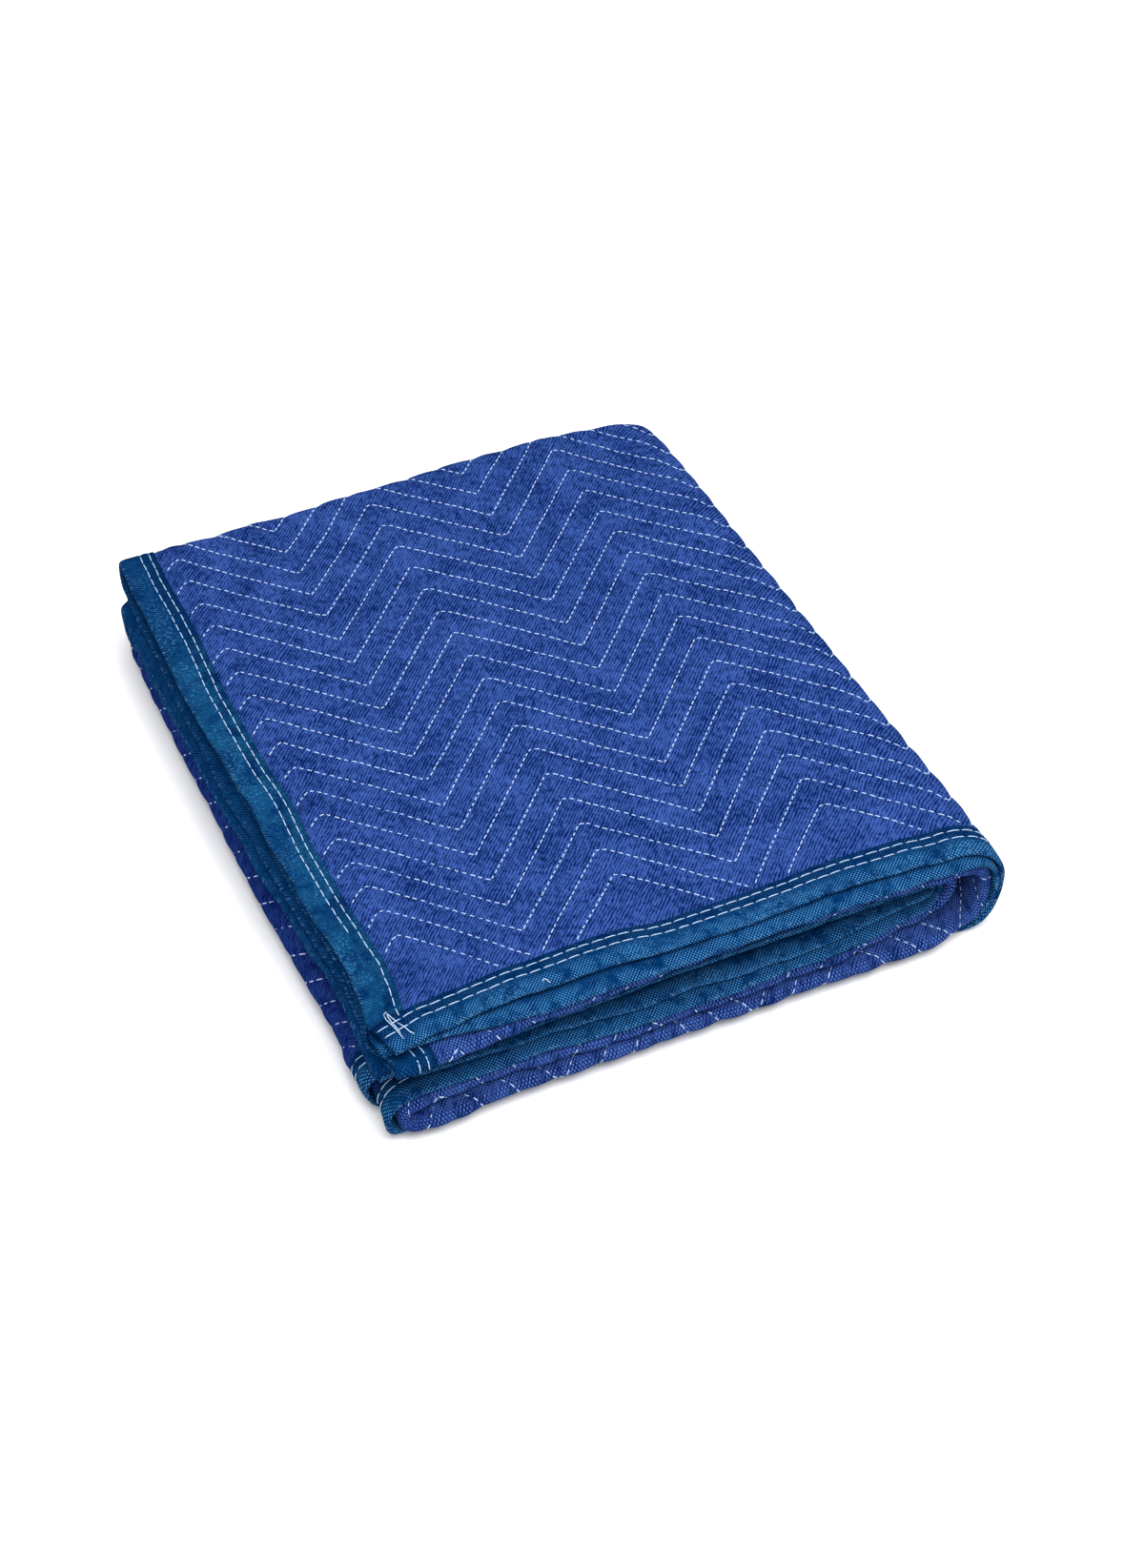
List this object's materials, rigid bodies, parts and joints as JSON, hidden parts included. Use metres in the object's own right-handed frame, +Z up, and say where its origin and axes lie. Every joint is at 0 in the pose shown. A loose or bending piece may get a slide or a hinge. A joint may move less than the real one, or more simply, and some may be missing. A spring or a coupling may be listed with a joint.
{
  "type": "folded quilted moving blanket",
  "caption": "Quilted furniture moving blanket with a bound edge, folded into a flat layered packet.",
  "frame": {"origin": "under the middle of the folded packet, on the surface it lies on", "axes": "+Z up through the layers, +Y from the bound front edges towards the rounded back folds, +X from the open left ends towards the rounded right turn"},
  "size_m": [0.4585, 0.5217, 0.0811],
  "materials": {
    "pad_cloth": "matte, fine diagonal weave",
    "edge_tape": "matte twill tape"
  },
  "bodies": {
    "root": {"quilted_pad": "pad_cloth", "binding_front": "edge_tape", "binding_second": "edge_tape", "binding_left": "edge_tape", "binding_inner_end": "edge_tape"}
  },
  "joints": []
}
